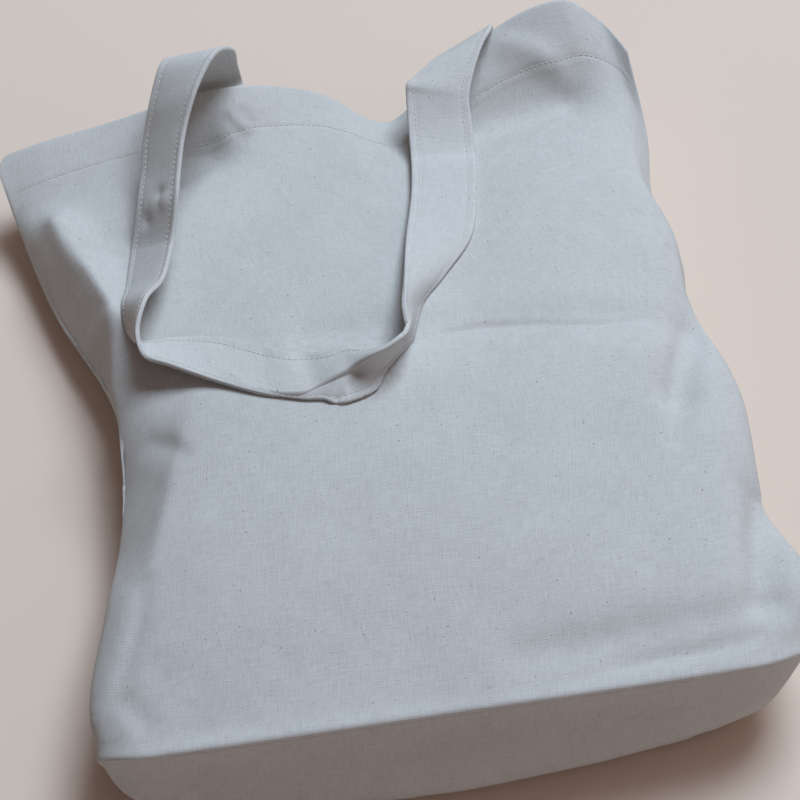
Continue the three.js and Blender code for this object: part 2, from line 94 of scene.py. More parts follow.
class Wire:
    """A socket of a node tree that takes part in sums, and makes the other nodes of its tree."""

    def __init__(self, tree, socket=None):
        self.tree = tree
        self.socket = socket

    def node(self, kind, settings=None, output=0, **sockets):
        """A node of that kind, its settings set before its sockets are given values or links."""
        made = self.tree.nodes.new(kind)
        for name, value in (settings or {}).items():
            setattr(made, name, value)
        for name, value in sockets.items():
            self.feed(made, name, value)
        return Wire(self.tree, made.outputs[output])

    def feed(self, made, name, value):
        """Links a wire to a socket, or sets its value. A name such as in_1 counts the sockets."""
        place = int(name[3:]) if name.startswith("in_") else name.replace("_", " ")
        if isinstance(value, Wire):
            self.tree.links.new(value.socket, made.inputs[place])
        else:
            made.inputs[place].default_value = value

    def other(self, name):
        """Another output of the same node."""
        return Wire(self.tree, self.socket.node.outputs[name])

    def mix(self, share, low, high):
        """A colour between two others, from the first at 0 to the second at 1."""
        return self.node("ShaderNodeMix", {"data_type": "RGBA"}, 2, in_0=share, in_6=low, in_7=high)

    def maths(self, operation, first, second=0.0):
        """A Math node of two values or wires."""
        return self.node("ShaderNodeMath", {"operation": operation}, in_0=first, in_1=second)

    def __add__(self, other):
        return self.maths("ADD", self, other)

    __radd__ = __add__

    def __sub__(self, other):
        return self.maths("SUBTRACT", self, other)

    def __rsub__(self, other):
        return self.maths("SUBTRACT", other, self)

    def __mul__(self, other):
        return self.maths("MULTIPLY", self, other)

    __rmul__ = __mul__

    def __gt__(self, other):
        return self.maths("GREATER_THAN", self, other)

    def below(self):
        """The whole number below."""
        return self.maths("FLOOR", self)

    def hump(self):
        """Half a wave: 0 at whole numbers and 1 half way between them."""
        return self.maths("SINE", self.maths("FRACT", self) * math.pi)

    def step(self, low, high):
        """Smooth step from 0 at low to 1 at high."""
        settings = {"interpolation_type": "SMOOTHSTEP"}
        return self.node("ShaderNodeMapRange", settings, Value=self, From_Min=low, From_Max=high)


# %% [markdown]
# ## Floor and light
#
# The picture has one broad light, high up behind the bag and to its right, so the front is bright and
# the bottom cloth is in shade. An area light gives that softness, because the wider the lamp, the
# softer the shadow. An even sky would fill the hollow on the left with light, so the sky is bright
# overhead, in front and on the right, and dark on the left and at the back. The warm floor sends a
# brownish light back into the shaded sides.

# %% Lay the floor
FLOOR_HALF = 4.0
FLOOR_COLOUR = (0.80, 0.65, 0.54, 1)
FLOOR_ROUGHNESS = 0.9
corners = [(-FLOOR_HALF, -FLOOR_HALF, 0), (FLOOR_HALF, -FLOOR_HALF, 0)]
corners += [(FLOOR_HALF, FLOOR_HALF, 0), (-FLOOR_HALF, FLOOR_HALF, 0)]
floor_mesh = bpy.data.meshes.new("floor")
floor_mesh.from_pydata(corners, [], [(0, 1, 2, 3)])
floor = bpy.data.objects.new("floor", floor_mesh)
bpy.context.collection.objects.link(floor)
floor_paint = bpy.data.materials.new("floor_paint")
floor_paint.use_nodes = True
floor_shader = floor_paint.node_tree.nodes["Principled BSDF"]
floor_shader.inputs["Base Color"].default_value = FLOOR_COLOUR
floor_shader.inputs["Roughness"].default_value = FLOOR_ROUGHNESS
floor_mesh.materials.append(floor_paint)
print("floor:", 2 * FLOOR_HALF, "m wide")

# %% A sky with a dark side
SKY_BRIGHT_SIDE = (0.96, 0.80, 0.80, 1)
SKY_DARK_SIDE = (0.06, 0.02, 0.01, 1)
SKY_STRENGTH = 0.28
SKY_UP_WEIGHT = 1.2
SKY_FRONT_WEIGHT = 0.5
SKY_DARK_TO = 0.1
SKY_BRIGHT_FROM = 1.0
world = bpy.data.worlds.new("soft_room")
world.use_nodes = True
sky = Wire(world.node_tree)
to_the_right = sky.node("ShaderNodeSeparateXYZ", Vector=sky.node("ShaderNodeTexCoord"))
to_the_back, upwards = to_the_right.other("Y"), to_the_right.other("Z")
open_side = to_the_right + upwards * SKY_UP_WEIGHT - to_the_back * SKY_FRONT_WEIGHT
sky_colour = sky.mix(open_side.step(SKY_DARK_TO, SKY_BRIGHT_FROM), SKY_DARK_SIDE, SKY_BRIGHT_SIDE)
background = world.node_tree.nodes["Background"]
sky.feed(background, "Color", sky_colour)
background.inputs["Strength"].default_value = SKY_STRENGTH
bpy.context.scene.world = world
bpy.context.scene.view_settings.view_transform = "Standard"
print("sky:", len(world.node_tree.nodes), "nodes")

# %% Hang the lamp
# name, turn, height (degrees), distance (m), width (m), watts, colour
LAMPS = [
    ("window_lamp", 142, 61, 3.8, 1.7, 136, (0.70, 0.85, 1.0)),
]
for name, turn, height, distance, width, watts, colour in LAMPS:
    lamp = bpy.data.lights.new(name, "AREA")
    lamp.size = width
    lamp.energy = watts
    lamp.color = colour
    stand = bpy.data.objects.new(name, lamp)
    stand.location = direction(turn, height) * distance
    stand.rotation_euler = direction(turn, height).to_track_quat("Z", "Y").to_euler()
    bpy.context.collection.objects.link(stand)
print("lamps:", [row[0] for row in LAMPS])

# %% [markdown]
# ## Seams and edges
#
# A sewn bag is held in shape by its seams and by the edges of its mouth. Each of them is a short
# table of places, in millimetres, and a smooth curve runs through the rows. The numbers are those of
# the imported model, so each finer cloth lies where its plain one does. Only the upper part of the left
# seam is lower here, so that the side above it falls in further.

# %% Sizes of the cloths
CLOTH = 1.2
HEM_CLOTH = 2.4
HEM_DEPTH = 36.0
PANEL_LENGTH = 450.0
STRAP_WIDTH = 36.0
STRAP_CLOTH = 2.4
HEM_AT = 1 - HEM_DEPTH / PANEL_LENGTH
print("hems begin at", HEM_AT, "of a panel's length")

# %% Tables of the seams
# place along the seam, x, y, z
LEFT_SEAM = [
    (0.00, -180, -196, 28), (0.08, -185, -168, 38), (0.22, -169, -112, 40), (0.40, -154, -40, 40),
    (0.55, -155, 27, 29), (0.73, -182, 103, 20), (0.87, -196, 158, 25), (1.00, -205, 196, 46),
]
RIGHT_SEAM = [
    (0.00, 184, -192, 28), (0.08, 198, -163, 44), (0.20, 185, -113, 42), (0.36, 191, -48, 42),
    (0.53, 180, 20, 42), (0.63, 185, 60, 44), (0.75, 178, 108, 46), (0.87, 185, 158, 47),
    (1.00, 182, 206, 68),
]
# place across the bag, x, y, z
FRONT_FOOT = [
    (-1.00, -180, -196, 28), (-0.92, -183, -205, 58), (-0.78, -158, -215, 76), (0.00, -2, -221, 87),
    (0.78, 162, -216, 76), (0.92, 191, -204, 60), (1.00, 184, -192, 28),
]
BACK_FOOT = [
    (-1.00, -180, -196, 0), (-0.85, -164, -209, 0), (0.00, -2, -223, 0), (0.85, 164, -209, 0),
    (1.00, 184, -192, 0),
]
FRONT_MOUTH = [
    (-1.00, -205, 196, 46), (-0.93, -197, 205, 48), (-0.60, -128, 218, 52), (-0.34, -65, 219, 67),
    (-0.10, -12, 217, 56), (0.18, 30, 200, 38), (0.30, 50, 207, 44), (0.55, 98, 229, 72),
    (0.82, 146, 237, 86), (0.93, 170, 229, 71), (1.00, 182, 206, 68),
]
BACK_MOUTH = [
    (-1.00, -205, 196, 0), (-0.85, -176, 205, 0), (0.00, -2, 211, 0), (0.85, 160, 212, 0),
    (1.00, 182, 206, 0),
]
# place along the bag, height of the front's middle, how square its section is
CROWN = [
    (0.000, 87, 3), (0.055, 91, 3), (0.230, 100, 3), (0.440, 99, 2.8), (0.550, 90, 2.4),
    (0.710, 73, 2), (0.840, 60, 2), (0.920, 54, 2), (1.000, 52, 2),
]

# %% A smooth curve through a table


def curve(table):
    """Gives the columns of a table at any place, smoothly: the first column is the place."""
    rows = np.array(table, float)
    at, values = rows[:, 0], rows[:, 1:]
    before = np.maximum(np.arange(len(at)) - 1, 0)
    after = np.minimum(np.arange(len(at)) + 1, len(at) - 1)
    slopes = (values[after] - values[before]) / (at[after] - at[before])[:, None]

    def columns(place):
        place = np.asarray(place, float)
        row = np.clip(np.searchsorted(at, place) - 1, 0, len(at) - 2)
        step = (at[row + 1] - at[row])[..., None]
        u = np.clip((place - at[row])[..., None] / step, 0, 1)
        start = slopes[row] * step * u * (1 - u) ** 2
        end = slopes[row + 1] * step * u * u * (1 - u)
        return values[row] + (values[row + 1] - values[row]) * u * u * (3 - 2 * u) + start - end

    return columns


left_seam, right_seam = curve(LEFT_SEAM), curve(RIGHT_SEAM)
front_foot, back_foot = curve(FRONT_FOOT), curve(BACK_FOOT)
front_mouth, back_mouth = curve(FRONT_MOUTH), curve(BACK_MOUTH)
crown = curve(CROWN)
print("mouth corners:", left_seam(1.0).round(), right_seam(1.0).round())

# %% [markdown]
# ## The faces of the three body cloths
#
# Between four edges a cloth spans a patch: each edge is blended into the one across from it. The
# front then swells up to a crown, dips along its creases, and is lifted at its mouth where its handle
# pulls it up. The back lies flat on the floor apart from its sides, and the bottom cloth bulges out
# between the two. Numpy works all the points of a grid out at once, far quicker than single points.

# %% A patch between the seams


def span(foot, mouth, across, along):
    """Points of the patch between both side seams, a foot and a mouth."""
    share = ((across + 1) / 2)[..., None]
    up = along[..., None]
    ends = (1 - up) * foot(across) + up * mouth(across)
    left = left_seam(along) - (1 - up) * foot(-1.0) - up * mouth(-1.0)
    right = right_seam(along) - (1 - up) * foot(1.0) - up * mouth(1.0)
    return ends + (1 - share) * left + share * right


# %% Distance to a folded line


def line_distance(points, path):
    """Distance of each point to a path on the floor plan, which side it is on, and how far along."""
    path = np.array(path, float)
    steps = np.diff(path, axis=0)
    lengths = np.hypot(steps[:, 0], steps[:, 1])
    starts = np.concatenate([[0], np.cumsum(lengths)])
    nearest = np.full(points.shape[:-1], np.inf)
    side = np.zeros_like(nearest)
    progress = np.zeros_like(nearest)
    for start, step, length, gone in zip(path, steps, lengths, starts):
        offset = points[..., :2] - start
        u = np.clip(offset @ step / length ** 2, 0, 1)
        gap = offset - u[..., None] * step
        away = np.hypot(gap[..., 0], gap[..., 1])
        closer = away < nearest
        nearest = np.where(closer, away, nearest)
        side = np.where(closer, np.sign(step[0] * gap[..., 1] - step[1] * gap[..., 0]), side)
        progress = np.where(closer, (gone + u * length) / starts[-1], progress)
    return nearest, side, progress


# %% The front
# x, y, to x, to y, depth, half width: the main dips, and a ridge where the depth is below zero. They
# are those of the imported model, with the left side and both ends of the handle fitted more closely.
CREASES = [
    (-40, 22, 172, 0, 4, 13),
    (184, 16, 155, -48, 7, 13),
    (188, -116, 174, -178, 7, 13),
    (40, -198, 178, -188, 4, 12),
    (-172, -192, -150, -172, 2, 13),
    (-176, 146, -150, 70, -16, 14),
    (-102, 180, -80, 187, 14, 16),
    (82, 174, 138, 187, 13, 19),
]
# the creases fade out over one part in so many of the length, and of half the width
CREASE_END_PARTS = 12
CREASE_SIDE_PARTS = 8
LIFT_FROM = 0.8
LIFT_AT_HEM = 0.45


def lift_share(along):
    """Share of the mouth's lift at a place: a curve up to the hem's fold, then straight."""
    curved = LIFT_AT_HEM * np.maximum(0, (along - LIFT_FROM) / (HEM_AT - LIFT_FROM)) ** 2
    straight = LIFT_AT_HEM + (1 - LIFT_AT_HEM) * (along - HEM_AT) / (1 - HEM_AT)
    return np.where(along > HEM_AT, straight, curved)


def level_mouth(across):
    """The front's mouth as it would be without lift, straight between its corners."""
    point = front_mouth(across)
    share = (np.asarray(across) + 1) / 2
    point[..., 2] = (1 - share) * left_seam(1.0)[2] + share * right_seam(1.0)[2]
    return point


def swollen(across, along):
    """The front filled out to its crown, with no lift and no creases."""
    point = span(front_foot, level_mouth, across, along)
    middle = span(front_foot, level_mouth, across * 0, along)[..., 2]
    height, square = np.moveaxis(crown(along), -1, 0)
    point[..., 2] += (height - middle) * np.sqrt(np.maximum(0, 1 - np.abs(across) ** square))
    return point


def front_face(across, along):
    """Outer face of the front, from the left seam at -1 to the right at 1, from the foot up."""
    point = swollen(across, along)
    lift = front_mouth(across)[..., 2] - swollen(across, np.ones_like(across))[..., 2]
    dip = np.zeros_like(lift)
    for x, y, to_x, to_y, depth, width in CREASES:
        away, _, _ = line_distance(point, [(x, y), (to_x, to_y)])
        dip += depth * np.exp(-((away / width) ** 2))
    ends = np.minimum(1, CREASE_END_PARTS * np.minimum(along, 1 - along))
    inside = ends * np.minimum(1, (1 - np.abs(across)) * CREASE_SIDE_PARTS)
    point[..., 2] += lift_share(along) * lift - dip * inside
    return point


# %% The back
FLAT_SHARE = 0.6


def back_face(across, along):
    """Outer face of the back, flat on the floor apart from its sides."""
    point = span(back_foot, back_mouth, across, along)
    side = np.maximum(0, (np.abs(across) - FLAT_SHARE) / (1 - FLAT_SHARE)) ** 2
    seam_height = np.where(across < 0, left_seam(along)[..., 2], right_seam(along)[..., 2])
    point[..., 2] = seam_height * side
    return point


# %% The boxed bottom
GUSSET_BULGE = 12
GUSSET_LOW = 1.6


def bottom_face(across, down):
    """Outer face of the bottom cloth, from the seam with the front at 0 to the back at 1."""
    foot = np.zeros_like(across)
    share = down[..., None]
    point = (1 - share) * front_face(across, foot) + share * back_face(across, foot)
    swell = np.sqrt(np.maximum(0, 1 - across ** 2)) * np.sin(math.pi * down ** GUSSET_LOW)
    point[..., 1] -= GUSSET_BULGE * swell
    return point


sample = front_face(np.zeros(3), np.array([0.0, 0.5, 1.0]))
print("middle of the front, foot to mouth:", sample.round(1).tolist())

# %% [markdown]
# ## Folds, rolls and hems
#
# On the real bag a pressed line crosses the front, small folds run down both sides, and each seam is
# a groove between two soft rolls, because the raw edges are turned inside. A bump texture could hint
# at these, but it leaves the outline straight, so they are moved into the mesh. Each fold is a path
# on the floor plan with a depth and half a width, and the push is along the cloth's own normal.

# %% Tables of the fine folds
# path of (x, y), depth into the bag, half width on the left of the path, and on its right
FRONT_FOLDS = [
    ([(-10, 12), (17, 5), (34, 10), (55, 11), (87, 6), (118, 0), (150, 3)], 3.0, 2.6, 1.6),
    ([(172, 4), (155, -44), (143, -88)], 3.4, 8, 6),
    ([(186, -110), (178, -136), (166, -188)], 3.4, 6, 7),
    ([(80, -208), (128, -205), (150, -202), (176, -197)], 2.6, 6, 5),
    ([(-140, -20), (-128, -31), (-116, -48)], 2.4, 5, 7),
    ([(-148, -112), (-156, -142), (-170, -173), (-181, -194)], 2.2, 8, 5),
    ([(-170, -176), (-156, -202)], 2.2, 8, 6),
    ([(98, 226), (123, 214), (136, 206), (150, 190)], -3.2, 7, 9),
    ([(-68, 205), (-60, 195), (-54, 186)], 1.5, 3, 4),
    ([(-58, 208), (-50, 194)], 1.2, 3, 3),
]
BACK_FOLDS = [
    ([(140, -60), (150, -100)], 1.5, 8, 8),
    ([(-130, 60), (-140, 110)], 1.5, 8, 8),
]
BOTTOM_FOLDS = [
    ([(128, -222), (150, -226)], 1.0, 4, 4),
]
print("folds on the front:", len(FRONT_FOLDS), "on the back:", len(BACK_FOLDS))

# %% Let the left side fall
# path of a ridge on the left of the front, from which the cloth falls to the side seam, the share of
# a full fall, and the shares of the path over which the fall begins and ends
LEFT_RIDGES = [
    ([(-192, 168), (-175, 132), (-159, 102), (-151, 76), (-152, 48), (-155, 20)], 1.0, 0.62, 0.15),
    ([(-100, 20), (-114, -16), (-122, -36), (-130, -62), (-140, -93), (-154, -132)], 0.8, 0.5, 0.35),
]
RIDGE_SOFT = 2.0
SEAM_SOFT = 1.5


def ease(low, high, value):
    """Smooth step from 0 at low to 1 at high."""
    u = np.clip((value - low) / (high - low), 0, 1)
    return u * u * (3 - 2 * u)


def let_left_fall(points):
    """Lowers the cloth between each ridge and the left seam to a slope, rounded at the ridge."""
    for path, fall, begins, ends in LEFT_RIDGES:
        away, side, progress = line_distance(points, path)
        for row, beside, place in zip(points, away * side, progress):
            after = int(np.argmax(beside > 0))
            if after == 0:
                continue
            steps = np.hypot(*np.diff(row[:, :2], axis=0).T)
            from_seam = np.concatenate([[0], np.cumsum(steps)])
            near = slice(after - 1, after + 1)
            reach = np.interp(0, beside[near], from_seam[near])
            top = np.interp(0, beside[near], row[near, 2])
            fallen = row[0, 2] + (top - row[0, 2]) * from_seam / reach
            gap = np.abs(fallen - row[:, 2])
            lowest = np.minimum(fallen, row[:, 2]) - RIDGE_SOFT * np.log1p(np.exp(-gap / RIDGE_SOFT))
            held = fall * ease(0, begins, place[after]) * ease(0, ends, 1 - place[after])
            row[:, 2] += (lowest - row[:, 2]) * held * ease(0, SEAM_SOFT, from_seam)


# %% Depth of the folds


def fold_depth(points, folds):
    """How far all the folds push into the bag at each point."""
    depth = np.zeros(points.shape[:-1])
    for path, deep, left_width, right_width in folds:
        away, side, progress = line_distance(points, path)
        width = np.where(side > 0, left_width, right_width)
        ends = np.sqrt(np.clip(np.sin(math.pi * progress), 0, 1))
        depth += deep * ends * np.exp(-((away / width) ** 2))
    return depth


# %% Lengths and normals on a grid


def lengths_along(grid, axis):
    """Length of the cloth from the first row or column of a grid to each of its points."""
    steps = np.linalg.norm(np.diff(grid, axis=axis), axis=2)
    first = np.zeros_like(np.take(steps, [0], axis=axis))
    return np.concatenate([first, np.cumsum(steps, axis=axis)], axis=axis)


def grid_normals(grid):
    """Unit normals of a grid whose rows go along the cloth and whose columns go across it."""
    normal = np.cross(np.gradient(grid, axis=1), np.gradient(grid, axis=0))
    return normal / np.maximum(np.linalg.norm(normal, axis=2, keepdims=True), 1e-9)


# %% Soft unevenness of the cloth
# wavelength, height
RIPPLES = [(75, 1.3), (30, 0.5), (12, 0.16)]


def ripple(widths, heights, seed):
    """Low waves that any cloth has, from smooth noise over its own flat size."""
    flat = np.zeros(widths.shape)
    places = list(zip(widths.ravel().tolist(), heights.ravel().tolist()))
    for wave, high in RIPPLES:
        values = [noise.noise((w / wave, h / wave, seed)) for w, h in places]
        flat += high * np.array(values).reshape(widths.shape)
    return flat


# %% [markdown]
# ## From a face to a sewn cloth
#
# A real panel has two faces, a rolled edge at the mouth and a turned hem, twice as thick and sewn
# down by a row of stitches that draws the cloth in. Solidify could give the thickness, but not a
# thicker hem, so the inner face is set in point by point, and both are joined round the mouth.

# %% Places across and along the cloths
SIDE_BAND = 0.05
SIDE_COLUMNS = 10
MIDDLE_COLUMNS = 171
BOTTOM_ROWS = 61
# millimetres from the foot, to, rows: closer at the foot, the pressed line and the hem's stitches
ALONG_BANDS = [
    (0, 14, 16), (16, 214, 74), (216, 246, 24), (248, 408, 62), (410, 422, 21), (424, 450, 15),
]
across_middle = np.linspace(SIDE_BAND - 1, 1 - SIDE_BAND, MIDDLE_COLUMNS)
across_side = 1 - SIDE_BAND * (np.arange(SIDE_COLUMNS) / SIDE_COLUMNS) ** 2
ACROSS = np.concatenate([-across_side, across_middle, across_side[::-1]])
ALONG = np.concatenate([np.linspace(*band) for band in ALONG_BANDS]) / PANEL_LENGTH
DOWN = np.linspace(0, 1, BOTTOM_ROWS)
print("panel grid:", len(ALONG), "rows,", len(ACROSS), "columns")

# %% Seam rolls and hem marks
STITCH_INSET = 4.0
HEM_STITCH = HEM_DEPTH - STITCH_INSET
HEM_FOLD_SOFT = 0.8
ROLL_WIDTH = 3.0
ROLL_CLEAR = 8.0
SIDE_ROLL = 0.3
FREE_OF_SEAM = 14.0
THIN_FROM, THIN_TO = -4.0, 8.0
OFF_FLOOR = 12.0
STITCH_PULL = 0.3
STITCH_PULL_WIDTH = 1.5


def roll(distance):
    """Rise of the soft roll beside a seam: none in the seam, 1 at the roll's width."""
    share = distance / ROLL_WIDTH
    return share * np.exp(1 - share)


def stitch_groove(distance):
    """How far a row of stitches draws the cloth in."""
    return STITCH_PULL * np.exp(-((distance / STITCH_PULL_WIDTH) ** 2))


def off_seams(low, high, to_side, to_foot):
    """Smooth step from 0 at one distance to 1 at another, from the side seams and from the foot."""
    return ease(low, high, to_side) * ease(low, high, to_foot)


# %% Outer and inner face of a cloth


def sides_distance(grid):
    """Length of cloth to the nearer side seam, and from the middle column, signed."""
    length = lengths_along(grid, 1)
    middle = length[:, length.shape[1] // 2][:, None]
    return np.minimum(length, length[:, -1:] - length), length - middle


def sewn_panel(face, folds, turn, foot_roll, seed):
    """Outer and inner grids of a panel with its hem, and its flat size at each point.

    The turn is 1 on the front, whose grid has its normals outside, and -1 on the back.
    """
    across, along = np.meshgrid(ACROSS, ALONG)
    plain = face(across, along)
    to_side, width = sides_distance(plain)
    to_foot = lengths_along(plain, 0)
    to_mouth = (1 - along) * PANEL_LENGTH
    free = off_seams(0, FREE_OF_SEAM, to_side, to_foot)
    if turn > 0:
        let_left_fall(plain)
    push = ripple(width, along * PANEL_LENGTH, seed) - fold_depth(plain, folds)
    push = push * free + foot_roll * roll(to_foot) * ease(0, ROLL_CLEAR, to_side)
    push += SIDE_ROLL * roll(to_side) * ease(0, ROLL_CLEAR, to_foot)
    push *= ease(0, OFF_FLOOR, plain[..., 2])
    push -= stitch_groove(to_mouth - HEM_STITCH) * free
    outer = plain + grid_normals(plain) * (turn * push)[..., None]
    outer[..., 2] = np.maximum(outer[..., 2], 0)
    hem = ease(HEM_DEPTH + HEM_FOLD_SOFT, HEM_DEPTH - HEM_FOLD_SOFT, to_mouth)
    thick = CLOTH + (HEM_CLOTH - CLOTH) * hem - stitch_groove(to_mouth - HEM_STITCH)
    thick *= off_seams(THIN_FROM, THIN_TO, to_side, to_foot)
    inner = outer - grid_normals(outer) * (turn * thick)[..., None]
    return outer, inner, np.stack([width, along * PANEL_LENGTH], axis=2)


# %% Join both faces into one closed wall
# reach of each row round an edge, as a share of half the thickness
ROUND_EDGE = (1.0, 1.0, 1.0)
EDGE_STEP = 0.8


def rounded(start, end, before, shape):
    """Rows round an edge from one face to the other, bulging away from the row before it."""
    centre, half = (start + end) / 2, (start - end) / 2
    thick = np.linalg.norm(half, axis=1, keepdims=True)
    out = start - before
    out = out - half * np.sum(out * half, axis=1, keepdims=True) / np.maximum(thick ** 2, 1e-9)
    out = out / np.maximum(np.linalg.norm(out, axis=1, keepdims=True), 1e-9)
    angles = math.pi * (np.arange(len(shape)) + 1) / (len(shape) + 1)
    return [
        centre + reach * (half * math.cos(angle) + out * thick * math.sin(angle))
        for angle, reach in zip(angles, shape)
    ]


def edge_sizes(edge, before, count):
    """Flat sizes of the rows round an edge: out to its middle and back, so no thread is drawn out."""
    out = (edge - before) / np.linalg.norm(edge - before, axis=1, keepdims=True)
    return [edge + out * EDGE_STEP * min(k + 1, count - k) for k in range(count)]


def closing_strip(column, rows, last_steps, first_steps):
    """Faces that close one open side of a wall, each outer row paired with its inner one."""
    total = 2 * rows + last_steps - 1
    start = rows + (last_steps - 1) // 2
    stop = -((first_steps + 1) // 2)
    places = range(start, stop - 1, -1)
    pairs = [(column[k % len(column)], column[(total - k) % len(column)]) for k in places]
    return [list(dict.fromkeys([a, c, d, b])) for (a, b), (c, d) in zip(pairs, pairs[1:])]


def closed_wall(outer, inner, flat, turn, first_edge=(), last_edge=()):
    """Points, faces and flat sizes of a cloth: out over one face, round, and back over the other."""
    last = rounded(outer[-1], inner[-1], outer[-2], last_edge)
    first = rounded(inner[0], outer[0], inner[1], first_edge)
    ring = np.array([*outer, *last, *inner[::-1], *first])
    last_sizes = edge_sizes(flat[-1], flat[-2], len(last))
    first_sizes = edge_sizes(flat[0], flat[1], len(first))
    sizes = np.array([*flat, *last_sizes, *flat[::-1], *first_sizes])
    index = np.arange(ring.shape[0] * ring.shape[1]).reshape(ring.shape[:2])
    after = np.roll(index, -1, axis=0)
    quads = np.stack([index[:, :-1], index[:, 1:], after[:, 1:], after[:, :-1]], axis=2)
    faces = quads.reshape(-1, 4).tolist()
    faces += closing_strip(index[:, -1].tolist(), len(outer), len(last), len(first))
    left = closing_strip(index[:, 0].tolist(), len(outer), len(last), len(first))
    faces += [face[::-1] for face in left]
    if turn < 0:
        faces = [face[::-1] for face in faces]
    return ring.reshape(-1, 3), faces, sizes.reshape(-1, 2)


# %% Turn a wall into an object


def cloth_object(name, wall, finish):
    """Mesh object of a wall, in metres, with its flat size as the UV map that the weave follows."""
    points, faces, sizes = wall
    mesh = bpy.data.meshes.new(name)
    mesh.from_pydata((points * MM).tolist(), [], faces)
    corners = np.empty(len(mesh.loops), np.int32)
    mesh.loops.foreach_get("vertex_index", corners)
    mesh.uv_layers.new(name="flat_cloth").data.foreach_set("uv", (sizes[corners] * MM).ravel())
    mesh.shade_smooth()
    mesh.materials.append(finish)
    cloth = bpy.data.objects.new(name, mesh)
    bpy.context.collection.objects.link(cloth)
    area = sum(face.area for face in mesh.polygons) / 2
    print(name, len(mesh.polygons), "faces,", round(area, 3), "square metres of cloth")
    return cloth


# %% [markdown]
# ## Unbleached canvas
#
# The cloth is a plain weave of uneven cotton yarn: each warp thread goes over one weft thread and
# under the next, some threads are thicker than others, and bits of seed husk leave small dark
# flecks. An image could carry all that, but nodes keep sharp at any distance. The pattern follows
# the flat size of the cloth, so the threads run along the panels and bend with them.

# %% Yarn, weave and flecks
THREAD_PITCH = 0.85 * MM
FLECK_CORE = 0.5


def streaks(start, flat, across, along):
    """Uneven yarn: noise drawn out along the threads, from its scale across and along them."""
    stretched = start.node("ShaderNodeMapping", Vector=flat, Scale=(across, along, 1))
    return start.node("ShaderNodeTexNoise", Vector=stretched, Scale=1.0, Detail=2.0, Roughness=0.6)


def weave(start, flat):
    """Height of a plain weave: warp over weft on one square, weft over warp on the next."""
    split = start.node("ShaderNodeSeparateXYZ", Vector=flat)
    warp, weft = split * (1 / THREAD_PITCH), split.other("Y") * (1 / THREAD_PITCH)
    over = start.maths("PINGPONG", warp.below() + weft.below(), 1.0)
    return over * warp.hump() + (1 - over) * weft.hump()


def flecks(start, flat, size, radius, kept):
    """1 in small husk flecks, one in some of the squares of that size."""
    flat_cells = {"voronoi_dimensions": "2D"}
    cells = start.node("ShaderNodeTexVoronoi", flat_cells, Vector=flat, Scale=1 / size)
    chance = start.node("ShaderNodeSeparateColor", Color=cells.other("Color"))
    return (1 - (cells * size).step(radius * FLECK_CORE, radius)) * (chance > 1 - kept)


# %% The canvas finish
WEAVE_HEIGHT = 0.10 * MM
YARN_HEIGHT = 0.07 * MM
YARN_FINE, YARN_LONG = 1100, 90
STAIN_SCALE = 22.0
# what yarn, stains and weave add to the tone, the middle of the last two, and the tone's whole shift
YARN_TONE, STAIN_TONE, WEAVE_TONE = 0.65, 0.35, 0.35
STAIN_MIDDLE, WEAVE_MIDDLE = 0.5, 0.6
TONE_SHIFT = 0.15
TONE_RANGE = (0.2, 0.8)
# size of the squares (m), radius of a fleck (m), share of the squares that have one
FLECK_SIZES = [(0.021, 0.00055, 0.35), (0.009, 0.00034, 0.55)]
FLECK_COLOUR = (0.20, 0.15, 0.11, 1)
FLECK_STRENGTH = 0.75
BUMP_STRENGTH = 0.8
HOLLOW_ROUGHNESS = 0.92
THREAD_SMOOTHER = 0.08
COTTON_SHINE = {"Specular IOR Level": 0.1, "Sheen Weight": 0.03, "Sheen Roughness": 0.5}
# light and dark tone
BODY_TONES = ((0.68, 0.67, 0.65, 1), (0.54, 0.53, 0.51, 1))
STRAP_TONES = ((0.71, 0.70, 0.68, 1), (0.58, 0.57, 0.55, 1))


def canvas(name, light, dark):
    """Woven cotton between two tones, with uneven yarn, soft stains and husk flecks."""
    finish = bpy.data.materials.new(name)
    finish.use_nodes = True
    shader = finish.node_tree.nodes["Principled BSDF"]
    start = Wire(finish.node_tree)
    flat = start.node("ShaderNodeUVMap", {"uv_map": "flat_cloth"})
    warp_yarn = streaks(start, flat, YARN_FINE, YARN_LONG)
    weft_yarn = streaks(start, flat, YARN_LONG, YARN_FINE)
    stain = start.node("ShaderNodeTexNoise", Vector=flat, Scale=STAIN_SCALE, Detail=4.0, Roughness=0.6)
    cloth = weave(start, flat)
    tone = (warp_yarn + weft_yarn) * YARN_TONE + (stain - STAIN_MIDDLE) * STAIN_TONE
    tone = tone + (cloth - WEAVE_MIDDLE) * WEAVE_TONE - TONE_SHIFT
    colour = start.mix(tone.step(*TONE_RANGE), dark, light)
    for size, radius, kept in FLECK_SIZES:
        spot = flecks(start, flat, size, radius, kept) * FLECK_STRENGTH
        colour = start.mix(spot, colour, FLECK_COLOUR)
    height = cloth * WEAVE_HEIGHT + (warp_yarn + weft_yarn) * YARN_HEIGHT
    bump = start.node("ShaderNodeBump", Height=height, Strength=BUMP_STRENGTH, Distance=1.0)
    start.feed(shader, "Base_Color", colour)
    start.feed(shader, "Normal", bump)
    start.feed(shader, "Roughness", HOLLOW_ROUGHNESS - THREAD_SMOOTHER * cloth)
    for socket, value in COTTON_SHINE.items():
        shader.inputs[socket].default_value = value
    return finish


body_canvas = canvas("body_canvas", *BODY_TONES)
strap_canvas = canvas("strap_canvas", *STRAP_TONES)
print("finishes:", body_canvas.name, strap_canvas.name)

# %% [markdown]
# ## Front, back and bottom
#
# Now the faces become cloth. The front and the back share the same places along the side seams, so
# they meet there, and the bottom cloth starts and ends on the foot seams of the two.

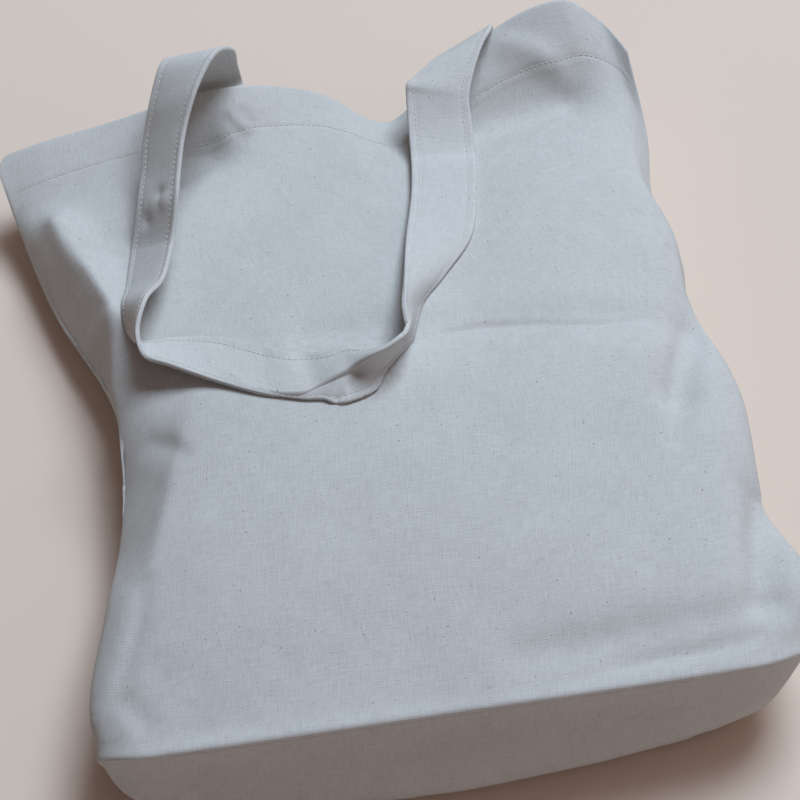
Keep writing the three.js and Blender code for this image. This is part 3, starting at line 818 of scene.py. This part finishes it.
# %% Sew the front and the back
FRONT_ROLL, BACK_ROLL = 2.0, 0.0
FRONT_SEED, BACK_SEED, BOTTOM_SEED = 3.5, 8.5, 5.5
front_outer, front_inner, front_flat = sewn_panel(front_face, FRONT_FOLDS, 1, FRONT_ROLL, FRONT_SEED)
back_outer, back_inner, back_flat = sewn_panel(back_face, BACK_FOLDS, -1, BACK_ROLL, BACK_SEED)
front_wall = closed_wall(front_outer, front_inner, front_flat, 1, last_edge=ROUND_EDGE)
back_wall = closed_wall(back_outer, back_inner, back_flat, -1, last_edge=ROUND_EDGE)
front_cloth = cloth_object("front_cloth", front_wall, body_canvas)
back_cloth = cloth_object("back_cloth", back_wall, body_canvas)
for name, grid in (("front", front_outer), ("back", back_outer)):
    wide, long = lengths_along(grid, 1)[:, -1].mean(), lengths_along(grid, 0)[-1].mean()
    print(name, "cloth as it lies:", round(wide), "mm wide,", round(long), "mm long")

# %% Sew the bottom
# columns left out at each end, where the bottom runs out to nothing
EAR_COLUMNS = 3
BOTTOM_ROLL = 0.7


def sewn_bottom():
    """Outer and inner grids of the bottom cloth, and its flat size at each point."""
    across, down = np.meshgrid(ACROSS[EAR_COLUMNS:-EAR_COLUMNS], DOWN)
    plain = bottom_face(across, down)
    to_side, width = sides_distance(plain)
    length = lengths_along(plain, 0)
    to_foot = np.minimum(length, length[-1:] - length)
    free = off_seams(0, FREE_OF_SEAM, to_side, to_foot)
    push = (ripple(width, length, BOTTOM_SEED) - fold_depth(plain, BOTTOM_FOLDS)) * free
    push += BOTTOM_ROLL * roll(length) * free
    outer = plain - grid_normals(plain) * push[..., None]
    thick = CLOTH * off_seams(THIN_FROM, THIN_TO, to_side, to_foot)
    inner = outer + grid_normals(outer) * thick[..., None]
    return outer, inner, np.stack([width, length], axis=2)


bottom_outer, bottom_inner, bottom_flat = sewn_bottom()
bottom_wall = closed_wall(bottom_outer, bottom_inner, bottom_flat, -1)
bottom_cloth = cloth_object("bottom_cloth", bottom_wall, body_canvas)

# %% [markdown]
# ## The handles
#
# Each handle is a flat strap of folded canvas, sewn inside a hem at both ends. The front one arches
# out of the mouth and lies over the front, on edge at its left turn. At its right turn it is folded
# along its length, with a small pleat in the part below. The back one is tucked inside. A curve with
# a bevel would twist as it likes, so the rows across the strap are listed one by one, as a centre and
# the direction of one edge, and the rest is a smooth run through those rows.

# %% Routes of the handles
# x, y, z, and the direction of the upper edge. A row with no height lies on the front. Where the strap
# is folded along its length, the place is that of the fold, followed by the fold's share of half the
# width and the direction of the part beyond it.
FRONT_ROUTE = [
    (-71, 225, 62, 1, 0, 0), (-73, 228, 77, 1, 0, 0), (-75, 222, 98, 1, -0.05, 0.1),
    (-84, 209, 111, 0.85, -0.28, 0.45), (-95, 190, 105, 0.72, -0.36, 0.6),
    (-104, 171, 91, 0.62, -0.45, 0.64), (-109, 152, 83, 0.58, -0.47, 0.66),
    (-113, 135, 79, 0.6, -0.45, 0.65), (-120, 111, 0, 0.62, -0.42, 0.66),
    (-127, 83, 0, 0.55, -0.44, 0.71), (-135, 60, 0, 0.35, -0.46, 0.81), (-137, 42, 0, 0.10, -0.5, 0.86),
    (-132, 32, 0, -0.02, -0.7, 0.7), (-118, 26, 0, -0.09, -0.82, 0.56),
    (-94, 6, 0, -0.14, -0.95, 0.29, 0.5, -0.14, -0.95, 0.29),
    (-72, -15, 0, -0.07, -0.98, 0.21, 0.9, 0.00, -0.98, 0.15),
    (-52, -23, 99, 0.12, -0.96, 0.23, 0.84, 0.45, -0.87, -0.21),
    (-42, -21, 100, 0.12, -0.95, 0.29, 0.60, 0.24, -0.96, -0.14),
    (-32, -19, 103, 0.12, -0.92, 0.38, 0.23, 0.00, -0.97, -0.26),
    (-22, -17, 106, 0.10, -0.88, 0.46, 0.10, 0.62, -0.68, -0.40),
    (-12, -18, 114, 0.00, -0.65, 0.76, -0.05, 0.34, 0.00, -0.94),
    (-2, -16, 120, -0.10, -0.50, 0.86, -0.35, 0.16, 0.29, -0.94),
    (8, -9, 123, -0.16, -0.45, 0.88, -0.70, 0.18, 0.45, -0.88),
    (18, 23, 0, 0.36, 0.51, -0.78), (28, 44, 0, 0.67, 0.4, -0.62), (43, 80, 0, 0.96, -0.07, -0.15),
    (53, 119, 0, 1, -0.1, 0), (58, 150, 0, 1, -0.1, 0), (60, 172, 67, 1, -0.15, 0),
    (61, 186, 73, 1, -0.3, -0.1), (62, 191, 76, 1, -0.22, -0.1), (67, 200, 78, 0.98, 0.02, 0.05),
    (75, 211, 79, 0.94, 0.2, 0.15), (82, 221, 76, 0.92, 0.25, 0.25),
    (86, 229, 69, 0.9, 0.28, 0.3), (85, 229, 58, 0.88, 0.3, 0.36),
]
BACK_ROUTE = [
    (-76, 206, 8.4, 1, 0, 0), (-76, 196, 10.4, 1, 0, 0), (-77, 176, 9.6, 1, 0, 0),
    (-78, 152, 5, 1, 0, 0), (-80, 110, 3.6, 1, 0, 0), (-80, 50, 3.6, 1, 0, 0), (-78, 0, 3.6, 1, 0, 0),
    (-70, -50, 3.6, 1, 0.1, 0), (-48, -92, 3.6, 0.8, 0.6, 0), (0, -114, 3.6, 0, 1, 0),
    (48, -92, 3.6, -0.8, 0.6, 0), (70, -50, 3.6, -1, 0.1, 0), (78, 0, 3.6, -1, 0, 0),
    (80, 50, 3.6, -1, 0, 0), (80, 110, 3.6, -1, 0, 0), (79, 152, 5, -1, 0, 0),
    (78, 176, 9.6, -1, 0, 0), (78, 196, 10.4, -1, 0, 0), (78, 206, 8.4, -1, 0, 0),
]
# places of the sewn ends across the panel, and how far along it they reach
FRONT_ROOTS, FRONT_SEWN = (-0.365, 0.465), (0.95, 0.99)
BACK_ROOTS, BACK_SEWN = (-0.40, 0.40), (0.932, 0.975)
print("rows of the front handle:", len(FRONT_ROUTE), "of the back one:", len(BACK_ROUTE))

# %% Lines along a strap
# shares of half its width, closer at the fold in the middle and near the edges
STITCH_LINE = 0.8
half_lines = [0.0, 0.02, 0.05, 0.1, 0.2, 0.32, 0.45, 0.58, 0.68, 0.74, 0.8, 0.86, 0.92, 0.97, 1.0]
LINES = np.array([-line for line in half_lines[:0:-1]] + half_lines)
ROOT_KNOTS = 4
ROOT_PROBE = 0.02
ROOT_GAP = 0.3
REST_GAP = 0.3
STRAP_STEPS = 12


def on_cloth(grid, across, along):
    """Points of a panel's grid at places across and along it."""
    column = np.interp(across, ACROSS, np.arange(len(ACROSS)))
    row = np.interp(along, ALONG, np.arange(len(ALONG)))
    i = np.minimum(column.astype(int), len(ACROSS) - 2)
    j = np.minimum(row.astype(int), len(ALONG) - 2)
    u, v = (column - i)[..., None], (row - j)[..., None]
    low = grid[j, i] * (1 - u) + grid[j, i + 1] * u
    high = grid[j + 1, i] * (1 - u) + grid[j + 1, i + 1] * u
    return low * (1 - v) + high * v


def root_rows(outer, inner, across, sewn):
    """Rows of a sewn end, on the inner face of a hem from its fold up to near its edge."""
    rows = []
    for place in np.linspace(*sewn, ROOT_KNOTS):
        here = np.full(2, place)
        left, right = on_cloth(inner, np.array([across - ROOT_PROBE, across + ROOT_PROBE]), here)
        reach = STRAP_WIDTH * ROOT_PROBE / np.linalg.norm(right - left)
        places = across + LINES * reach
        level = np.full_like(places, place)
        hem = on_cloth(inner, places, level)
        inward = hem - on_cloth(outer, places, level)
        inward /= np.linalg.norm(inward, axis=1, keepdims=True)
        rows.append(hem + inward * (ROOT_GAP + STRAP_CLOTH / 2))
    return rows


# %% A smooth run through the rows


def smooth_run(knots, steps):
    """Rows between the knots by smooth curves paced to the knots' gaps, one for each line."""
    knots = np.array(knots)
    knots = np.concatenate([[2 * knots[0] - knots[1]], knots, [2 * knots[-1] - knots[-2]]])
    gaps = np.maximum(np.linalg.norm(np.diff(knots, axis=0), axis=2, keepdims=True), 1e-6) ** 0.5
    rows = []
    for k in range(1, len(knots) - 2):
        a, b, c, d = knots[k - 1], knots[k], knots[k + 1], knots[k + 2]
        before, here, after = gaps[k - 1], gaps[k], gaps[k + 1]
        leave = ((b - a) / before - (c - a) / (before + here) + (c - b) / here) * here
        arrive = ((c - b) / here - (d - b) / (here + after) + (d - c) / after) * here
        for u in np.arange(steps) / steps:
            bend = (-3 * b + 3 * c - 2 * leave - arrive) * u ** 2
            rows.append(b + leave * u + bend + (2 * b - 2 * c + leave + arrive) * u ** 3)
    return [*rows, knots[-2]]


# %% Let a strap rest on the front
DROP_HEIGHT = 500.0
front_tree = BVHTree.FromPolygons(front_wall[0].tolist(), front_wall[1])


def rise_to_clear(row):
    """How far a row has to rise so that its whole width clears the front."""
    needed = []
    for x, y, z in row.tolist():
        hit = front_tree.ray_cast(Vector((x, y, DROP_HEIGHT)), Vector((0, 0, -1)))[0]
        needed.append(hit.z - z if hit else -DROP_HEIGHT)
    return max(needed) + STRAP_CLOTH / 2 + REST_GAP


# %% Rows across a strap
# how far the part beyond a fold lies under the other, from which line on, and for which bend in full
FOLD_TUCK = 2.6
FOLD_TUCK_SHARE = 0.05
FOLD_FULL = 0.3


def unit(vector):
    """The direction of a vector, with a length of 1."""
    return np.array(vector) / np.linalg.norm(vector)


def route_row(x, y, z, *shape):
    """Points across the strap at a row of its route, with its fold on the middle line if it has one."""
    edge, beyond = unit(shape[:3]), unit(shape[-3:])
    fold = shape[3] if len(shape) > 3 else 0
    inner = np.minimum(LINES, 0)[:, None] * (1 + fold) * edge
    outer = np.maximum(LINES, 0)[:, None] * (1 - fold) * beyond
    row = np.array([x, y, z]) + (inner + outer) * STRAP_WIDTH / 2
    bent = ease(0, FOLD_FULL, 1 - edge @ beyond)
    row[:, 2] -= FOLD_TUCK * bent * ease(0, FOLD_TUCK_SHARE, LINES)
    if z == 0:
        row[:, 2] += rise_to_clear(row)
    return row


def strap_rows(outer, inner, roots, sewn, route):
    """Rows across a strap from its left root to its right one."""
    knots = root_rows(outer, inner, roots[0], sewn)
    knots += [route_row(*row) for row in route]
    turned = -1 if route[-1][3] < 0 else 1
    knots += [row[::turned] for row in root_rows(outer, inner, roots[1], sewn)[::-1]]
    lying = [place + ROOT_KNOTS for place, row in enumerate(route) if row[2] == 0]
    rows = np.array(smooth_run(knots, STRAP_STEPS))
    if lying:
        for row in rows[(lying[0] - 1) * STRAP_STEPS:(lying[-1] + 1) * STRAP_STEPS]:
            row[:, 2] += max(0.0, rise_to_clear(row))
    return rows


# %% Give a strap its folded thickness
FOLDED_EDGE = (1.0, 1.05, 0.62, 1.05, 1.0)
EDGE_SWELL = 0.18
SWELL_FROM, SWELL_TO = 0.72, 0.94
# place along the strap (in knots from its left end), across it, depth, radius: puckers of the left leg
FRONT_PUCKERS = [
    (11.4, -0.45, 2.2, 4.5), (10.8, 0.15, 1.6, 4.5), (11.1, 0.5, -1.4, 4.5),
]
# a pleat in the part that is folded under at the right turn, as a line of small bulges
PLEAT_START, PLEAT_END = (23.0, 0.2), (21.8, 1.0)
PLEAT_BULGES = 7
PLEAT_DEPTH, PLEAT_RADIUS = -1.1, 2.4
for place, line in np.linspace(PLEAT_START, PLEAT_END, PLEAT_BULGES):
    FRONT_PUCKERS.append((place, line, PLEAT_DEPTH, PLEAT_RADIUS))


def strap_wall(rows, puckers=()):
    """Both faces of a strap: thicker along its folded edges, drawn in along its two stitch rows."""
    grid = np.swapaxes(rows, 0, 1).copy()
    dents = np.zeros(grid.shape[:2])
    for place, line, depth, radius in puckers:
        centre = grid[np.abs(LINES - line).argmin(), round(place * STRAP_STEPS)]
        dents += depth * np.exp(-np.sum((grid - centre) ** 2, axis=2) / radius ** 2)
    grid -= grid_normals(grid) * dents[..., None]
    from_edge = np.abs(LINES)[:, None] * np.ones(len(rows))
    half = STRAP_CLOTH / 2 + EDGE_SWELL * ease(SWELL_FROM, SWELL_TO, from_edge)
    half -= stitch_groove((from_edge - STITCH_LINE) * STRAP_WIDTH / 2)
    normal = grid_normals(grid)
    width = LINES[:, None] * STRAP_WIDTH / 2 * np.ones(len(rows))
    length = np.ones((len(LINES), 1)) * lengths_along(grid, 1).mean(axis=0)
    flat = np.stack([width, length], axis=2)
    top, under = grid + normal * half[..., None], grid - normal * half[..., None]
    return top, under, closed_wall(top, under, flat, 1, FOLDED_EDGE, FOLDED_EDGE)


# %% Make both straps
front_rows = strap_rows(front_outer, front_inner, FRONT_ROOTS, FRONT_SEWN, FRONT_ROUTE)
back_rows = strap_rows(back_outer, back_inner, BACK_ROOTS, BACK_SEWN, BACK_ROUTE)
front_top, front_under, front_strap_wall = strap_wall(front_rows, FRONT_PUCKERS)
back_top, back_under, back_strap_wall = strap_wall(back_rows)
front_strap = cloth_object("front_strap", front_strap_wall, strap_canvas)
back_strap = cloth_object("back_strap", back_strap_wall, strap_canvas)
for name, rows in (("front", front_rows), ("back", back_rows)):
    print(name, "strap:", round(lengths_along(rows, 0)[-1].mean()), "mm long")

# %% [markdown]
# ## Stitches
#
# Rows of stitches hold the hems down, run along both edges of each strap and box in its sewn ends.
# Thousands of like bits of thread along a path are what Geometry Nodes are for: the paths are plain
# curves, and one small tree puts a stitch of uneven size at every step along them.

# %% A tree that sews along curves
STITCH_SEED = 7
SMALLEST_STITCH = (0.85, 0.85, 0.85)
LARGEST_STITCH = (1.1, 1.1, 1.1)


def stitch_tree():
    """Nodes that set a short rounded thread at each step along the curves they are given."""
    tree = bpy.data.node_groups.new("stitch_rows", "GeometryNodeTree")
    inputs = [("Paths", "Geometry"), ("Pitch", "Float"), ("Length", "Float"), ("Radius", "Float")]
    for name, kind in [*inputs, ("Thread", "Material")]:
        tree.interface.new_socket(name, in_out="INPUT", socket_type="NodeSocket" + kind)
    tree.interface.new_socket("Stitches", in_out="OUTPUT", socket_type="NodeSocketGeometry")
    given = tree.nodes.new("NodeGroupInput")
    paths, pitch, length, radius, thread = [Wire(tree, socket) for socket in given.outputs[:5]]
    start = Wire(tree)
    points = start.node("GeometryNodeCurveToPoints", {"mode": "LENGTH"}, Curve=paths, Length=pitch)
    along_path = {"axis": "X"}
    turned = start.node("FunctionNodeAlignRotationToVector", along_path, Vector=points.other("Tangent"))
    bead = start.node("GeometryNodeMeshUVSphere", Segments=6, Rings=4, Radius=1.0)
    size = start.node("ShaderNodeCombineXYZ", X=length * 0.5, Y=radius, Z=radius)
    stitch = start.node("GeometryNodeTransform", Geometry=bead, Scale=size)
    uneven = start.node("FunctionNodeRandomValue", {"data_type": "FLOAT_VECTOR"}, Seed=STITCH_SEED,
                        in_0=SMALLEST_STITCH, in_1=LARGEST_STITCH)
    rows = start.node("GeometryNodeInstanceOnPoints", Points=points, Instance=stitch,
                      Rotation=turned, Scale=uneven)
    solid = start.node("GeometryNodeRealizeInstances", Geometry=rows)
    sewn = start.node("GeometryNodeSetMaterial", Geometry=solid, Material=thread)
    tree.links.new(sewn.socket, tree.nodes.new("NodeGroupOutput").inputs[0])
    return tree


stitching = stitch_tree()
print("stitch tree:", len(stitching.nodes), "nodes")

# %% Thread
THREAD_DARK = (0.58, 0.56, 0.52, 1)
THREAD_LIGHT = (0.74, 0.72, 0.69, 1)
THREAD_GRAIN = 900.0
THREAD_ROUGHNESS = 0.8
thread_finish = bpy.data.materials.new("cotton_thread")
thread_finish.use_nodes = True
thread_shader = thread_finish.node_tree.nodes["Principled BSDF"]
thread_start = Wire(thread_finish.node_tree)
thread_place = thread_start.node("ShaderNodeTexCoord", output="Object")
thread_noise = thread_start.node("ShaderNodeTexNoise", Vector=thread_place, Scale=THREAD_GRAIN)
thread_tone = thread_start.mix(thread_noise, THREAD_DARK, THREAD_LIGHT)
thread_start.feed(thread_shader, "Base_Color", thread_tone)
thread_shader.inputs["Roughness"].default_value = THREAD_ROUGHNESS
print("thread:", thread_finish.name)

# %% Sew a set of paths
STITCH_PITCH = 3.2
STITCH_LENGTH = 2.5
THREAD_RADIUS = 0.32


def sew(name, paths):
    """One mesh of stitches along paths of points in millimetres."""
    line = bpy.data.curves.new(name, "CURVE")
    line.dimensions = "3D"
    for path in paths:
        spline = line.splines.new("POLY")
        spline.points.add(len(path) - 1)
        places = np.concatenate([np.array(path) * MM, np.ones((len(path), 1))], axis=1)
        spline.points.foreach_set("co", places.ravel())
    guide = bpy.data.objects.new(name + "_paths", line)
    bpy.context.collection.objects.link(guide)
    sewing = guide.modifiers.new("sewing", "NODES")
    sewing.node_group = stitching
    values = {"Pitch": STITCH_PITCH * MM, "Length": STITCH_LENGTH * MM, "Radius": THREAD_RADIUS * MM}
    values["Thread"] = thread_finish
    for item in stitching.interface.items_tree:
        if item.name in values:
            sewing[item.identifier] = values[item.name]
    bpy.context.view_layer.update()
    ready = guide.evaluated_get(bpy.context.evaluated_depsgraph_get())
    mesh = bpy.data.meshes.new_from_object(ready)
    mesh.name = name
    bpy.data.objects.remove(guide)
    stitches = bpy.data.objects.new(name, mesh)
    bpy.context.collection.objects.link(stitches)
    print(name, len(mesh.polygons), "faces")
    return stitches


# %% Paths of the hem stitches
THREAD_LIFT = 0.12
HEM_ROW_END = 0.985
HEM_ROW_POINTS = 400


def hem_path(face, other):
    """Points along a hem's stitch row, just proud of one face of the cloth."""
    across = np.linspace(-HEM_ROW_END, HEM_ROW_END, HEM_ROW_POINTS)
    along = np.full_like(across, 1 - HEM_STITCH / PANEL_LENGTH)
    here, there = on_cloth(face, across, along), on_cloth(other, across, along)
    out = (here - there) / np.linalg.norm(here - there, axis=1, keepdims=True)
    return here + out * THREAD_LIFT


front_hem = sew("front_hem_stitches", [
    hem_path(front_outer, front_inner), hem_path(front_inner, front_outer)])
back_hem = sew("back_hem_stitches", [
    hem_path(back_outer, back_inner), hem_path(back_inner, back_outer)])

# %% Paths along a strap and round its sewn ends
ROOT_BOX = 0.62
BOX_INSET = 2
BOX_POINTS = 12


def strap_paths(top, under):
    """Rows along both edges of a strap on both faces, and a crossed box at each end."""
    paths = []
    line_index = np.arange(len(LINES))
    last_row = top.shape[1] - 1
    box = (BOX_INSET, (ROOT_KNOTS - 1) * STRAP_STEPS - BOX_INSET)
    for face, other in ((top, under), (under, top)):
        out = face - other
        lifted = face + out / np.linalg.norm(out, axis=2, keepdims=True) * THREAD_LIFT

        def place(line, row):
            column = np.interp(line, LINES, line_index)
            low = int(min(column, len(LINES) - 2))
            share = column - low
            return lifted[low, row] * (1 - share) + lifted[low + 1, row] * share

        for line in (-STITCH_LINE, STITCH_LINE):
            paths.append([place(line, row) for row in range(last_row + 1)])
        for first, last in (box, (last_row - box[0], last_row - box[1])):
            rows = np.linspace(first, last, BOX_POINTS).astype(int)
            for side in (-ROOT_BOX, ROOT_BOX):
                crossing = np.linspace(side, -side, BOX_POINTS)
                paths.append([place(line, row) for line, row in zip(crossing, rows)])
            for row in (first, last):
                edge = np.linspace(-STITCH_LINE, STITCH_LINE, BOX_POINTS)
                paths.append([place(line, row) for line in edge])
    return paths


front_seams = sew("front_strap_stitches", strap_paths(front_top, front_under))
back_seams = sew("back_strap_stitches", strap_paths(back_top, back_under))

# %% [markdown]
# ## Hang each piece on the bag's body
#
# Every piece rides on the bag's one body, and each cloth stands for a plain one of the imported
# model, which is hidden. The table also lists the slot of its finish, how large it was cut, in
# metres, how it is held and what it lies on.

STRAP_CUT = (0.036, 0.76)
# cloth, what it stands for, slot, cut size (m), how it is held, what it lies on, its stitches
PIECES = [
    (front_cloth, "front_panel", "canvas", (0.43, 0.45), "stretched", ["bottom_cloth"], [front_hem]),
    (back_cloth, "back_panel", "canvas", (0.40, 0.43), "laid", ["bottom_cloth"], [back_hem]),
    (bottom_cloth, "bottom_gusset", "canvas", (0.38, 0.09), "stretched", ["back_cloth"], []),
    (front_strap, "front_handle", "handle_canvas", STRAP_CUT, "draped", ["front_cloth"], [front_seams]),
    (back_strap, "back_handle", "handle_canvas", STRAP_CUT, "folded", ["back_cloth"], [back_seams]),
]
for cloth, node, finish_slot, cut, held, rests_on, stitches in PIECES:
    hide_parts(node)
    for piece in [cloth, *stitches]:
        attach(piece, "root")
print("pieces:", [row[0].name for row in PIECES])
